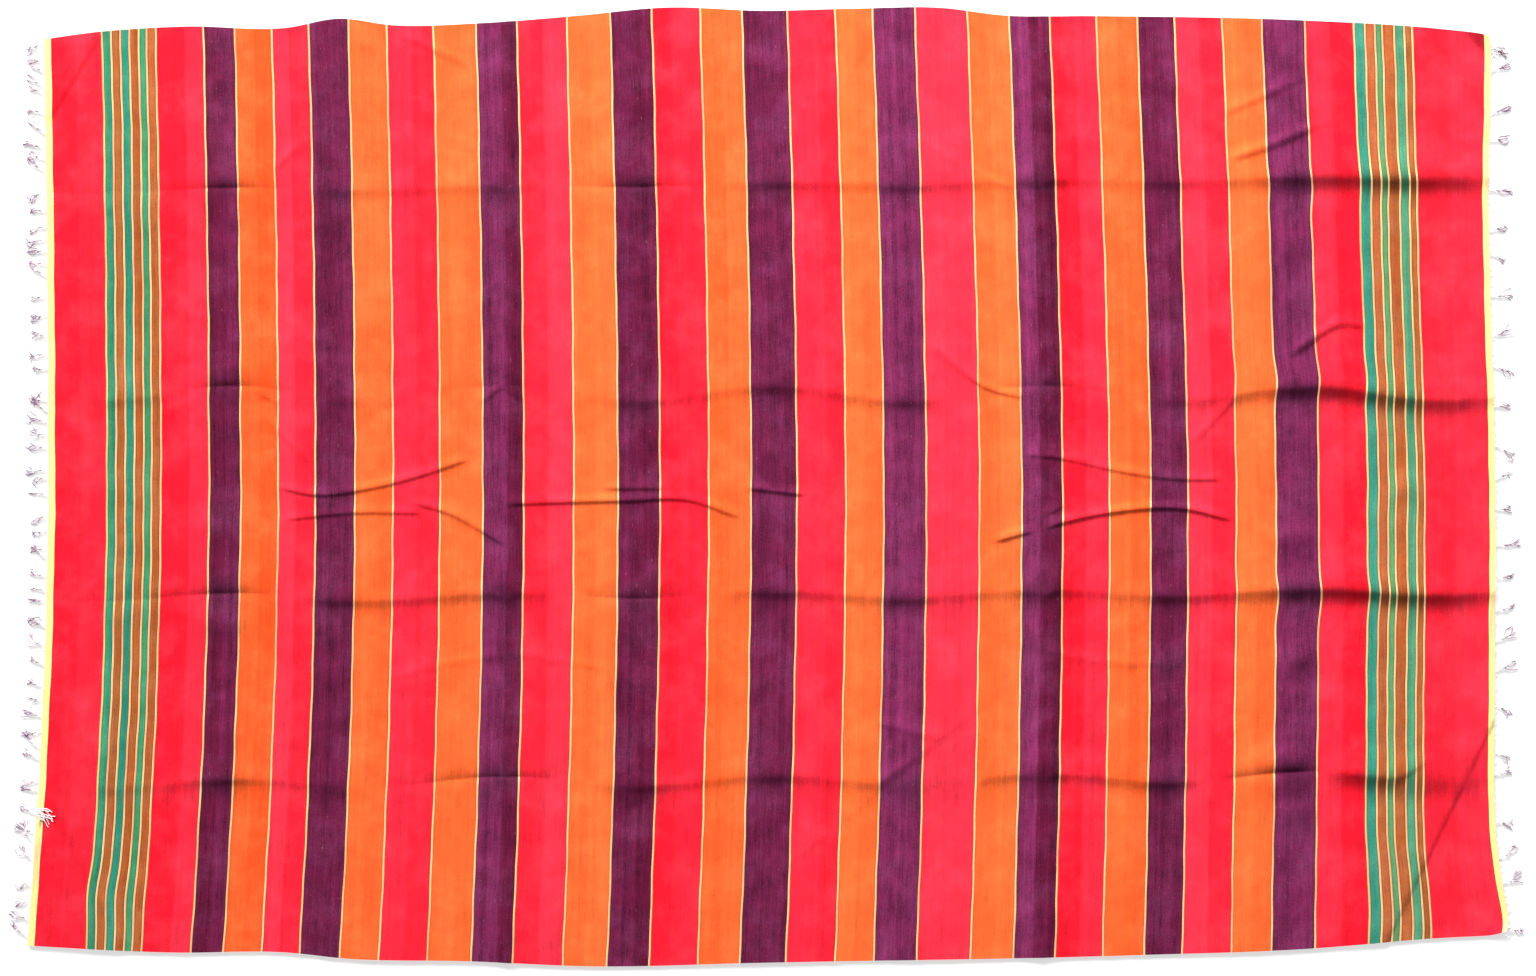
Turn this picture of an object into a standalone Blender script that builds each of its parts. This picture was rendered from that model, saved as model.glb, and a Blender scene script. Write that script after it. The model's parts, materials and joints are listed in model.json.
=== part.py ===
"""A striped flatwoven rug, lying flat, with a knotted fringe at both ends.

The length runs along X, from the west end to the east end, and the width along Y. The
stripes are bands of weft: each is a flat sleeve wrapped round the sheet of warp threads
and turned back at both long edges, the selvedges. The warp threads leave the cloth
through a yellow header at each end and are knotted into tassels.

The rug folds across in thirds along two old creases, and its four corners turn over
along diagonal creases. Each fold is a hinge, so the pieces that a crease crosses are cut
there. Units are metres, the floor is at Z = 0 and the origin is the middle of the rug.
"""

import bmesh
import bpy
from mathutils import Matrix, Vector

# The layers of the cloth
GAP = 0.0003  # clearance between pieces that touch
WEFT_THICKNESS = 0.0007  # above the warp, and again below it
WARP_THICKNESS = 0.0006
SELVEDGE_THICKNESS = 0.0009  # where the weft turns back at a long edge

# The outline
CLOTH_WIDTH = 1.570  # across the middle
WAIST = 0.040  # how far each long edge curves in by the time it reaches an end

# The weft stripes from the west end to the east end: the colour and the width of each
STRIPES = (
    ("header", 0.011), ("red_end", 0.085),
    ("green", 0.015), ("brown", 0.015), ("green", 0.015),
    ("brown", 0.015), ("green", 0.013), ("brown", 0.015),
    ("red", 0.079), ("purple", 0.052), ("orange", 0.061),
    ("red", 0.061), ("purple", 0.065), ("orange", 0.062),
    ("red", 0.077), ("orange", 0.070), ("purple", 0.067),
    ("red", 0.082), ("orange", 0.072), ("purple", 0.069),
    ("red", 0.080), ("orange", 0.069), ("purple", 0.075),
    ("red", 0.080), ("orange", 0.062), ("purple", 0.070),
    ("red", 0.087), ("orange", 0.069), ("purple", 0.067),
    ("red", 0.077), ("orange", 0.067), ("purple", 0.061),
    ("red", 0.079), ("orange", 0.065), ("purple", 0.070),
    ("red", 0.080),
    ("green", 0.018), ("brown", 0.016), ("green", 0.012),
    ("brown", 0.019), ("green", 0.016), ("brown", 0.012),
    ("red_end", 0.106), ("header", 0.010),
)

# The two creases across the rug, each inside a purple band: the band's number, and how
# far the crease lies from the band's western edge
WEST_CREASE = ("purple_band_3", 0.041)
EAST_CREASE = ("purple_band_7", 0.031)

# The corner creases: how far each reaches along the end and along the long edge
CORNER_ALONG_END = {"nw": 0.142, "ne": 0.155, "sw": 0.243, "se": 0.373}
CORNER_ALONG_SIDE = {"nw": 0.090, "ne": 0.108, "sw": 0.118, "se": 0.187}

# The fringe
FRINGE_LENGTH = 0.048
TASSEL_PITCH = {"west": 0.034, "east": 0.046}
BUNDLE_SHARE = 0.6  # the part of the pitch whose warp threads pass flat through the header
BUNDLE_ROOT = 0.002  # how deep a bundle is rooted in the warp sheet
CORD_RADIUS = 0.0011
KNOT_RADIUS = 0.0025
KNOT_START = 0.005  # from the cloth's edge
KNOT_LENGTH = 0.005
TASSEL_SHARES = (1.0, 0.86, 0.94, 0.80, 0.90)  # of the fringe's length, in turn
TASSEL_SWAYS = (0.002, -0.004, 0.005, -0.002, 0.0, -0.006, 0.003)  # of the tips, in turn
CORD_SIDES = 6

# Finishes: colour (linear RGB) and roughness
COLOURS = {
    "header": (1.00, 0.90, 0.45),
    "red_end": (1.00, 0.014, 0.040),
    "green": (0.05, 0.34, 0.16),
    "brown": (0.48, 0.12, 0.03),
    "red": (1.00, 0.014, 0.040),
    "purple": (0.15, 0.010, 0.076),
    "orange": (1.00, 0.17, 0.033),
    "warp": (0.75, 0.62, 0.60),
}
ROUGHNESS = 0.9

# Worked out from the sizes above
CLOTH_LENGTH = sum(width for _, width in STRIPES)
CLOTH_THICKNESS = 2 * WEFT_THICKNESS + 2 * GAP + WARP_THICKNESS
CHANNEL_BOTTOM = WEFT_THICKNESS
CHANNEL_TOP = CLOTH_THICKNESS - WEFT_THICKNESS
WARP_BOTTOM = CHANNEL_BOTTOM + GAP
WARP_TOP = CHANNEL_TOP - GAP
CORNERS = {"nw": (-1, 1), "ne": (1, 1), "sw": (-1, -1), "se": (1, -1)}
ENDS = {"west": -1, "east": 1}

# A folded piece turns about a line above the cloth, so that it lands just clear of what
# it covers: a corner covers the cloth, the west third covers the middle, and the east
# third covers the folded west third
CORNER_HINGE_HEIGHT = (CLOTH_THICKNESS + 3 * GAP + 2 * KNOT_RADIUS) / 2
FOLDED_CORNER_HEIGHT = 2 * CORNER_HINGE_HEIGHT
WEST_HINGE_HEIGHT = (CLOTH_THICKNESS + GAP + FOLDED_CORNER_HEIGHT) / 2
EAST_HINGE_HEIGHT = (2 * WEST_HINGE_HEIGHT + GAP + FOLDED_CORNER_HEIGHT) / 2


def clear_scene():
    for old in list(bpy.data.objects):
        bpy.data.objects.remove(old)


def make_material(name):
    material = bpy.data.materials.new(name + "_yarn")
    material.use_nodes = True
    shader = material.node_tree.nodes["Principled BSDF"]
    shader.inputs["Base Color"].default_value = (*COLOURS[name], 1.0)
    shader.inputs["Roughness"].default_value = ROUGHNESS
    shader.inputs["Metallic"].default_value = 0.0
    return material


def half_width(x):
    """Half the width of the cloth at x: its long edges are shallow curves."""
    return CLOTH_WIDTH / 2 - WAIST * (2 * x / CLOTH_LENGTH) ** 2


def stripe_places():
    """Each stripe as (name, colour, western edge, eastern edge)."""
    places = []
    counts = {}
    x = -CLOTH_LENGTH / 2
    for colour, width in STRIPES:
        counts[colour] = counts.get(colour, 0) + 1
        if colour in ("header", "red_end"):
            name = f"{colour}_{'west' if x < 0 else 'east'}"
        elif colour in ("green", "brown"):
            name = f"{colour}_stripe_{counts[colour]}"
        else:
            name = f"{colour}_band_{counts[colour]}"
        places.append((name, colour, x, x + width))
        x += width
    return places


PLACES = stripe_places()
STRIPE_EDGES = [place[2] for place in PLACES] + [PLACES[-1][3]]
WEST_EDGES = {name: west for name, _, west, _ in PLACES}
WEST_FOLD = WEST_EDGES[WEST_CREASE[0]] + WEST_CREASE[1]
EAST_FOLD = WEST_EDGES[EAST_CREASE[0]] + EAST_CREASE[1]


def corner_crease(corner):
    """The ends of a corner's crease: on the cloth's end, then on its long edge."""
    side_x, side_y = CORNERS[corner]
    end_x = side_x * CLOTH_LENGTH / 2
    long_x = end_x - side_x * CORNER_ALONG_SIDE[corner]
    on_end = Vector((end_x, side_y * (half_width(end_x) - CORNER_ALONG_END[corner])))
    on_side = Vector((long_x, side_y * half_width(long_x)))
    return on_end, on_side


def inward_normal(corner):
    """The direction across a corner's crease, from the corner towards the middle."""
    on_end, on_side = corner_crease(corner)
    along = (on_side - on_end).normalized()
    normal = Vector((-along.y, along.x))
    return normal if normal.dot(on_end) < 0 else -normal


def clipped(plan, point, normal):
    """The part of a plan polygon that lies on the normal's side of a line."""
    kept = []
    for index, here in enumerate(plan):
        before = plan[index - 1]
        depth_before = (before - point).dot(normal)
        depth_here = (here - point).dot(normal)
        if (depth_before >= 0) != (depth_here >= 0):
            share = depth_before / (depth_before - depth_here)
            kept.append(before.lerp(here, share))
        if depth_here >= 0:
            kept.append(here)
    return kept


def without_corner(plan, corner):
    normal = inward_normal(corner)
    return clipped(plan, corner_crease(corner)[0] + normal * GAP / 2, normal)


def corner_only(plan, corner):
    normal = inward_normal(corner)
    return clipped(plan, corner_crease(corner)[0] - normal * GAP / 2, -normal)


def cloth_plan(west, east, inset=0.0):
    """The cloth between two places along its length, as corner points in order."""
    inner = [x for x in STRIPE_EDGES if west < x < east]
    xs = [west, *inner, east]
    south = [Vector((x, inset - half_width(x))) for x in xs]
    north = [Vector((x, half_width(x) - inset)) for x in reversed(xs)]
    return south + north


def new_object(name, mesh_maker, material=None):
    bm = bmesh.new()
    mesh_maker(bm)
    bmesh.ops.recalc_face_normals(bm, faces=bm.faces)
    mesh = bpy.data.meshes.new(name)
    bm.to_mesh(mesh)
    bm.free()
    obj = bpy.data.objects.new(name, mesh)
    bpy.context.collection.objects.link(obj)
    if material:
        mesh.materials.append(material)
    return obj


def add_prism(bm, plan, bottom, top):
    """A flat piece: its plan raised from one height to another."""
    floor = bm.faces.new([bm.verts.new((p.x, p.y, bottom)) for p in plan])
    raised = bmesh.ops.extrude_face_region(bm, geom=[floor])
    corners = [v for v in raised["geom"] if isinstance(v, bmesh.types.BMVert)]
    bmesh.ops.translate(bm, verts=corners, vec=(0, 0, top - bottom))


def make_cutter(name, mesh_maker):
    cutter = new_object(name, mesh_maker)
    cutter.hide_render = True
    cutter.display_type = "WIRE"
    return cutter


def combine(target, tool, operation):
    modifier = target.modifiers.new(operation.title(), "BOOLEAN")
    modifier.object = tool
    modifier.operation = operation
    modifier.solver = "EXACT"


def ring(bm, x, y, z, half_across, half_high):
    """A cord's outline at one place: a flattened polygon across X."""
    corners = ((1, 0), (0.5, 1), (-0.5, 1), (-1, 0), (-0.5, -1), (0.5, -1))
    return [
        bm.verts.new((x, y + half_across * across, z + half_high * high))
        for across, high in corners[:CORD_SIDES]
    ]


def add_tassel(bm, end, y, root_depth, index):
    """A bundle of warp threads that leaves the cloth, is knotted, and ends in a tail."""
    side = ENDS[end]
    edge = side * CLOTH_LENGTH / 2
    half_bundle = BUNDLE_SHARE * TASSEL_PITCH[end] / 2
    warp_middle = (WARP_BOTTOM + WARP_TOP) / 2
    half_warp = WARP_THICKNESS / 2
    length = FRINGE_LENGTH * TASSEL_SHARES[index % len(TASSEL_SHARES)]
    sway = TASSEL_SWAYS[index % len(TASSEL_SWAYS)]
    knot_end = KNOT_START + KNOT_LENGTH
    squeeze = KNOT_LENGTH / 4
    # distance out, share of the sway, height, half across, half high
    sections = (
        (-root_depth, 0.0, warp_middle, half_bundle, half_warp),
        (GAP, 0.0, warp_middle, half_bundle, half_warp),
        (KNOT_START, 0.0, KNOT_RADIUS, CORD_RADIUS, CORD_RADIUS),
        (KNOT_START + squeeze, 0.0, KNOT_RADIUS, KNOT_RADIUS, KNOT_RADIUS),
        (knot_end - squeeze, 0.0, KNOT_RADIUS, KNOT_RADIUS, KNOT_RADIUS),
        (knot_end, 0.1, 2 * CORD_RADIUS, CORD_RADIUS, CORD_RADIUS),
        (length, 1.0, CORD_RADIUS, 1.6 * CORD_RADIUS, CORD_RADIUS),
    )
    rings = [
        ring(bm, edge + side * out, y + share * sway, z, half_across, half_high)
        for out, share, z, half_across, half_high in sections
    ]
    for first, second in zip(rings, rings[1:]):
        for corner in range(CORD_SIDES):
            after = (corner + 1) % CORD_SIDES
            bm.faces.new((first[corner], first[after], second[after], second[corner]))
    bm.faces.new(rings[0])
    bm.faces.new(rings[-1])


def spread(low, high, pitch):
    """Centres that share out a stretch evenly, about one pitch apart."""
    count = max(1, round((high - low) / pitch))
    step = (high - low) / count
    return [low + step * (index + 0.5) for index in range(count)]


def end_corner(end, side_y):
    return ("n" if side_y > 0 else "s") + end[0]


def crease_height(corner, depth):
    """How far from the middle a corner's crease lies, at a depth in from the end."""
    on_end, on_side = corner_crease(corner)
    slope = (abs(on_side.y) - abs(on_end.y)) / CORNER_ALONG_SIDE[corner]
    return abs(on_end.y) + slope * depth


def end_tassels(end):
    """The places of the tassels between an end's two corner creases."""
    low = -crease_height(end_corner(end, -1), 0)
    high = crease_height(end_corner(end, 1), 0)
    return spread(low, high, TASSEL_PITCH[end])


def corner_tassels(corner, end):
    """The places of the tassels on a corner that turns over."""
    side_x, side_y = CORNERS[corner]
    low = crease_height(corner, BUNDLE_ROOT)
    high = half_width(side_x * CLOTH_LENGTH / 2) - SELVEDGE_THICKNESS - GAP
    return [side_y * y for y in spread(low, high, TASSEL_PITCH[end])]


def header_width(end):
    return STRIPES[0][1] if end == "west" else STRIPES[-1][1]


def make_hinge(name, location, parent=None):
    """An empty on a fold's axis, which carries the pieces that turn about it."""
    hinge = bpy.data.objects.new(name, None)
    hinge.empty_display_size = 0.05
    bpy.context.collection.objects.link(hinge)
    hinge.matrix_basis = Matrix.Translation(location)
    if parent:
        hang_on(hinge, parent)
    return hinge


def hang_on(child, hinge):
    """Makes a piece follow a hinge and leaves it where it is."""
    child.parent = hinge
    child.matrix_parent_inverse = hinge.matrix_basis.inverted()


def make_band(name, colour, west, east, channel, materials):
    """A stripe of weft: a flat sleeve, open towards its neighbours."""
    plan = cloth_plan(west + GAP / 2, east - GAP / 2)
    for corner in CORNERS:
        plan = without_corner(plan, corner)
    band = new_object(
        name, lambda bm: add_prism(bm, plan, 0, CLOTH_THICKNESS), materials[colour]
    )
    combine(band, channel, "DIFFERENCE")
    return band


def make_stripes(hinges, materials):
    def channel_mesh(bm):
        past = GAP * 3
        plan = cloth_plan(-CLOTH_LENGTH / 2, CLOTH_LENGTH / 2, SELVEDGE_THICKNESS)
        for point in plan:
            if abs(point.x) > CLOTH_LENGTH / 2 - past:
                point.x += past if point.x > 0 else -past
        add_prism(bm, plan, CHANNEL_BOTTOM, CHANNEL_TOP)

    channel = make_cutter("weft_channel_cutter", channel_mesh)
    cuts = {WEST_CREASE[0]: ("west", "middle"), EAST_CREASE[0]: ("middle", "east")}
    folds = {WEST_CREASE[0]: WEST_FOLD, EAST_CREASE[0]: EAST_FOLD}
    for name, colour, west, east in PLACES:
        if colour == "header":
            continue
        pieces = [(name, west, east)]
        if name in cuts:
            fold = folds[name]
            pieces = [
                (f"{name}_{cuts[name][0]}", west, fold),
                (f"{name}_{cuts[name][1]}", fold, east),
            ]
        for piece_name, piece_west, piece_east in pieces:
            band = make_band(
                piece_name, colour, piece_west, piece_east, channel, materials
            )
            if piece_east <= WEST_FOLD:
                hang_on(band, hinges["west"])
            elif piece_west >= EAST_FOLD:
                hang_on(band, hinges["east"])
    return channel


def make_header(end, hinge, materials):
    """The last weft rows at an end, which pass between the bundles of warp."""
    half_channel = BUNDLE_SHARE * TASSEL_PITCH[end] / 2 + GAP
    edge = ENDS[end] * CLOTH_LENGTH / 2
    reach = header_width(end) + GAP

    def bundle_channels(bm):
        for y in end_tassels(end):
            plan = [
                Vector((edge - reach, y - half_channel)),
                Vector((edge + reach, y - half_channel)),
                Vector((edge + reach, y + half_channel)),
                Vector((edge - reach, y + half_channel)),
            ]
            add_prism(bm, plan, CHANNEL_BOTTOM, CHANNEL_TOP)

    channels = make_cutter(f"bundle_channels_{end}_cutter", bundle_channels)
    for name, colour, west, east in PLACES:
        if name == f"header_{end}":
            header = make_band(name, colour, west, east, channels, materials)
            hang_on(header, hinge)


def make_warp(name, plan, tassels, end, root_depth, materials):
    """A stretch of the warp sheet, with the tassels that grow from it."""
    warp = new_object(
        name, lambda bm: add_prism(bm, plan, WARP_BOTTOM, WARP_TOP), materials["warp"]
    )
    if not tassels:
        return warp

    def tassel_mesh(bm):
        for index, y in enumerate(tassels):
            add_tassel(bm, end, y, root_depth, index)

    combine(warp, make_cutter(f"{name}_tassels_cutter", tassel_mesh), "UNION")
    return warp


def make_warps(hinges, materials):
    inset = SELVEDGE_THICKNESS + GAP
    half = CLOTH_LENGTH / 2
    stretches = {
        "west": (-half + header_width("west") + GAP, WEST_FOLD - GAP / 2),
        "middle": (WEST_FOLD + GAP / 2, EAST_FOLD - GAP / 2),
        "east": (EAST_FOLD + GAP / 2, half - header_width("east") - GAP),
    }
    for third, (west, east) in stretches.items():
        plan = cloth_plan(west, east, inset)
        for corner in CORNERS:
            plan = without_corner(plan, corner)
        if third == "middle":
            make_warp("warp_middle", plan, [], None, 0, materials)
            continue
        root = header_width(third) + GAP + BUNDLE_ROOT
        warp = make_warp(
            f"warp_{third}", plan, end_tassels(third), third, root, materials
        )
        hang_on(warp, hinges[third])


def make_corner(corner, hinge, channel, materials):
    """A corner that turns over: its weft, from the header inwards, and its warp."""
    end = "west" if corner[1] == "w" else "east"
    half = CLOTH_LENGTH / 2
    reach = CORNER_ALONG_SIDE[corner]
    west, east = (-half, reach - half) if end == "west" else (half - reach, half)

    weft_plan = corner_only(cloth_plan(west + GAP / 2, east - GAP / 2), corner)
    side_y = CORNERS[corner][1]
    weft_plan = clipped(weft_plan, Vector((0, 0)), Vector((0, side_y)))
    weft = new_object(
        f"corner_weft_{corner}",
        lambda bm: add_prism(bm, weft_plan, 0, CLOTH_THICKNESS),
        materials["red_end"],
    )
    combine(weft, channel, "DIFFERENCE")
    hang_on(weft, hinge)

    inset = SELVEDGE_THICKNESS + GAP
    warp_plan = corner_only(cloth_plan(west + GAP / 2, east - GAP / 2, inset), corner)
    warp = make_warp(
        f"corner_warp_{corner}",
        warp_plan,
        corner_tassels(corner, end),
        end,
        BUNDLE_ROOT,
        materials,
    )
    hang_on(warp, hinge)


def main():
    clear_scene()
    materials = {name: make_material(name) for name in COLOURS}
    hinges = {
        "west": make_hinge("fold_west_hinge", (WEST_FOLD, 0, WEST_HINGE_HEIGHT)),
        "east": make_hinge("fold_east_hinge", (EAST_FOLD, 0, EAST_HINGE_HEIGHT)),
    }
    channel = make_stripes(hinges, materials)
    make_warps(hinges, materials)
    for end in ENDS:
        make_header(end, hinges[end], materials)
    for corner in CORNERS:
        on_end, on_side = corner_crease(corner)
        middle = (on_end + on_side) / 2
        parent = hinges["west" if corner[1] == "w" else "east"]
        place = (middle.x, middle.y, CORNER_HINGE_HEIGHT)
        hinge = make_hinge(f"corner_{corner}_hinge", place, parent)
        make_corner(corner, hinge, channel, materials)


main()
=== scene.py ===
# %% [markdown]
# # A striped flatwoven rug
# The rug lies flat on a pale floor. It is one cloth, woven from a hidden cotton warp that
# runs from end to end and from bands of coloured weft beaten close across it. This lesson
# dresses a imported model of the rug: the model gives every stripe's place, and each cell
# makes one part of the looks. The frame is loaded first.

# %% Load the frame
import json
import math

import bpy
import numpy as np
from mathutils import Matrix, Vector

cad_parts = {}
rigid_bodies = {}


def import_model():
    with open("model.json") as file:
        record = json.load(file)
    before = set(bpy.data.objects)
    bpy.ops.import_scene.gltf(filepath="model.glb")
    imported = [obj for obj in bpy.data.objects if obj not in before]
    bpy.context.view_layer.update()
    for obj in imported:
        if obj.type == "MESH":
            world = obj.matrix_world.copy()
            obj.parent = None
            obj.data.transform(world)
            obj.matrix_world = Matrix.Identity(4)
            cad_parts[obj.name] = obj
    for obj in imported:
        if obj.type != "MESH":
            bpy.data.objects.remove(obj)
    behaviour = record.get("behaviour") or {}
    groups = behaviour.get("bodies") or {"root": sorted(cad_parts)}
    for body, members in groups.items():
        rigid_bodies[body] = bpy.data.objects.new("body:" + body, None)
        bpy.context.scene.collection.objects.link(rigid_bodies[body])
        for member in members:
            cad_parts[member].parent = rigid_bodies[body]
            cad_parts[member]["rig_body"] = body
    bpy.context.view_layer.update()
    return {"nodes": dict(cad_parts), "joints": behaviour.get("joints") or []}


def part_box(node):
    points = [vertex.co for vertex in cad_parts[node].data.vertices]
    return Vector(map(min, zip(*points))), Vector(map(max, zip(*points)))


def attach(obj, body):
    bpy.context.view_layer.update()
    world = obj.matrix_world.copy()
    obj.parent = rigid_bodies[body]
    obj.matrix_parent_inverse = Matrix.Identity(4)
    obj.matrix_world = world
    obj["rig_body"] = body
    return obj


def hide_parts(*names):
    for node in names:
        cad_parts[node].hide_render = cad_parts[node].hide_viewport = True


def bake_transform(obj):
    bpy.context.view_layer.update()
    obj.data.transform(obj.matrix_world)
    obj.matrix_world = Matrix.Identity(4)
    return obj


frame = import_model()

# %% [markdown]
# The stripes are the driving layout. Each weft stripe is a node of the frame, so its
# western and eastern edges are read from the node's box. Two purple bands are cut in the
# frame where the rug folds, and are put back together here, because the weft itself runs
# on across the fold.

# %% Read the stripes from the frame
CLOTH_THICKNESS = 0.0026
FOLDED_BANDS = {
    "purple_band_3": ("purple_band_3_west", "purple_band_3_middle"),
    "purple_band_7": ("purple_band_7_middle", "purple_band_7_east"),
}


def read_stripes():
    """Every stripe as (name, node names, western edge, eastern edge), west to east."""
    halves = {node: band for band, nodes in FOLDED_BANDS.items() for node in nodes}
    found = {}
    for node in frame["nodes"]:
        if "warp" in node or "corner" in node:
            continue
        found.setdefault(halves.get(node, node), []).append(node)
    stripes = []
    for name, nodes in found.items():
        boxes = [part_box(node) for node in nodes]
        west = min(low[0] for low, high in boxes)
        east = max(high[0] for low, high in boxes)
        stripes.append((name, nodes, west, east))
    return sorted(stripes, key=lambda stripe: stripe[2])


STRIPES = read_stripes()
# the frame leaves a hair's gap between stripes, which the cloth doesn't have
EDGES = [(a[3] + b[2]) / 2 for a, b in zip(STRIPES, STRIPES[1:])]
WEST_END = STRIPES[0][2]
EAST_END = STRIPES[-1][3]
EDGES = [WEST_END, *EDGES, EAST_END]
HALF_LENGTH = (EAST_END - WEST_END) / 2
HALF_WIDTH_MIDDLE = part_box("red_band_6")[1][1]
FOLDS = {
    "west": (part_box("purple_band_3_west")[1][0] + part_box("purple_band_3_middle")[0][0]) / 2,
    "east": (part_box("purple_band_7_middle")[1][0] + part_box("purple_band_7_east")[0][0]) / 2,
}
print(len(STRIPES), "stripes, folds at", FOLDS)

# %% [markdown]
# Blender's own operators do the modelling. An operator acts on everything that is
# selected, so a small helper deselects first. Another applies all of a piece's modifiers.

# %% Helpers for operators


def deselect_all():
    for obj in bpy.context.selected_objects:
        obj.select_set(False)


def make_active(obj):
    deselect_all()
    obj.select_set(True)
    bpy.context.view_layer.objects.active = obj


def join_pieces(pieces):
    make_active(pieces[0])
    for piece in pieces:
        piece.select_set(True)
    bpy.ops.object.join()
    return bpy.context.object


def points_of(mesh):
    flat = np.empty(len(mesh.vertices) * 3, np.float32)
    mesh.vertices.foreach_get("co", flat)
    return flat.reshape(-1, 3).astype(float)


def set_points(mesh, points):
    mesh.vertices.foreach_set("co", points.astype(np.float32).ravel())
    mesh.update()


def smoothstep(low, high, value):
    share = np.clip((value - low) / (high - low), 0.0, 1.0)
    return share * share * (3 - 2 * share)


def bump(distance, reach):
    """A soft hill, 1 at its middle and nearly 0 at twice its reach."""
    return np.exp(-((distance / reach) ** 2))


# %% [markdown]
# ## The shape of the cloth
# A handwoven cloth is never square. Its long edges bow, its stripes lean and wander, and
# old folds leave ridges. All of that is described by three functions of a place in the
# flat cloth: how far the rows of weft lean, where the two long edges run, and how high
# the surface stands. Every piece is cut from the same three functions, so neighbouring
# pieces meet exactly.

# %% A smooth curve through a few points


def smooth_curve(value, places, heights):
    """A curve through a few chosen points, with soft corners, for arrays of values."""
    places = np.asarray(places, float)
    heights = np.asarray(heights, float)
    slopes = np.gradient(heights, places)
    value = np.clip(value, places[0], places[-1])
    cell = np.clip(np.searchsorted(places, value) - 1, 0, len(places) - 2)
    width = places[cell + 1] - places[cell]
    t = (value - places[cell]) / width
    return (
        (2 * t**3 - 3 * t**2 + 1) * heights[cell]
        + (t**3 - 2 * t**2 + t) * width * slopes[cell]
        + (3 * t**2 - 2 * t**3) * heights[cell + 1]
        + (t**3 - t**2) * width * slopes[cell + 1]
    )


# %% [markdown]
# The rows of weft lean west towards both long edges: not at all in the middle of the
# cloth, and by the millimetres below at its edges. Two corners have been tugged east
# again, and in the eastern third the old folds have pushed the stripes a little aside.

# %% How the weft leans
LEAN_PLACES = (-1.18, -0.75, -0.40, 0.0, 0.45, 0.75, 1.07, 1.18)
NORTH_LEAN_MM = (-8, -12, -12, -16, -22, -24, -24, -23)
SOUTH_LEAN_MM = (-38, -28, -19, -19, -14, -9, -7, -6)
SOUTH_POWER = 1.8
# distance across, place along, push in mm, reach along and reach across
TUGS = (
    (0.76, 1.18, 14, 0.08, 0.20),
    (-0.75, 1.18, 30, 0.10, 0.13),
    (0.18, 0.88, 5, 0.12, 0.030),
    (-0.18, 0.88, 5, 0.12, 0.030),
    (0.49, 0.90, 3, 0.16, 0.025),
    (-0.72, 1.02, 12, 0.08, 0.12),
    (-0.67, -1.07, -5, 0.06, 0.05),
)


def lean(along, across):
    """How far the cloth is pushed along its length at each place, in metres."""
    share = np.abs(across) / HALF_WIDTH_MIDDLE
    # in the west the lean comes late, close to the northern edge
    north_power = 1.6 - 0.5 * along / HALF_LENGTH
    north = smooth_curve(along, LEAN_PLACES, NORTH_LEAN_MM) * share**north_power
    south = smooth_curve(along, LEAN_PLACES, SOUTH_LEAN_MM) * share**SOUTH_POWER
    shift = np.where(across > 0, north, south)
    for middle_across, middle_along, push, reach_along, reach_across in TUGS:
        shift = shift + push * bump(across - middle_across, reach_across) * bump(
            along - middle_along, reach_along
        )
    shift = shift + 0.4 * np.sin(2 * math.pi * (across / 0.23 + 3.1 * along))
    shift = shift + 0.3 * np.sin(2 * math.pi * (across / 0.087 + 5.3 * along))
    return shift / 1000


# %% [markdown]
# The long edges follow a shallow bow, with a few dips where the cloth has pulled in.

# %% Where the long edges run
WAIST = 0.040
NORTH_PLACES = (-1.19, -1.08, -0.95, -0.78, -0.70, -0.61, -0.46, -0.30, -0.16,
                0.0, 0.15, 0.30, 0.40, 0.55, 0.90, 1.10, 1.19)
NORTH_MM = (-11, -4, -4, -14, -3, -17, -18, -9, 2, -4, 0, 3, -7, -4, 3, 2, -3)
SOUTH_PLACES = (-1.19, -0.95, -0.77, -0.67, -0.48, -0.28, 0.0, 0.60, 0.90, 1.07, 1.19)
SOUTH_MM = (4, 1, -8, -2, -4, 0, -8, -10, -9, -15, -14)


def edge_distance(along, north):
    """How far a long edge lies from the middle line."""
    bow = HALF_WIDTH_MIDDLE - WAIST * (along / HALF_LENGTH) ** 2
    places, heights = (NORTH_PLACES, NORTH_MM) if north else (SOUTH_PLACES, SOUTH_MM)
    return bow + smooth_curve(along, places, heights) / 1000


# %% [markdown]
# ## Relief
# The rug was folded lengthwise in five and then across in thirds. Each lengthwise crease
# stands up as a ridge or sinks as a valley, and swaps where a fold turned it over. A ridge
# is not even: the cloth climbs slowly from the north and drops steeply to the south. A
# valley has two soft shoulders and a sharp bottom.

# %% Crease profiles
SLOW_FLANK = 0.024
STEEP_FLANK = 0.019


def ridge(distance, slow=SLOW_FLANK, steep=STEEP_FLANK):
    """A crest at 0. Distances above 0 lie on the slow northern flank."""
    climb = np.exp(0.2 - np.sqrt((distance / slow) ** 2 + 0.2**2))
    drop = smoothstep(-steep, 0.1 * steep, distance)
    return climb * np.where(distance > 0.1 * steep, 1.0, drop)


def valley(distance):
    """A sharp bottom at 0 between two soft shoulders."""
    away = np.abs(distance)
    return 1.3 * (1 - np.exp(-away / 0.011)) * bump(distance, 0.045)


def along_line(x, y, start, end):
    """Distance from a line, signed, and the share of the way along it."""
    start = np.asarray(start)
    way = np.asarray(end) - start
    length = np.hypot(*way)
    way = way / length
    offset_x = x - start[0]
    offset_y = y - start[1]
    share = (offset_x * way[0] + offset_y * way[1]) / length
    distance = offset_y * way[0] - offset_x * way[1]
    return distance, share


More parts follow.
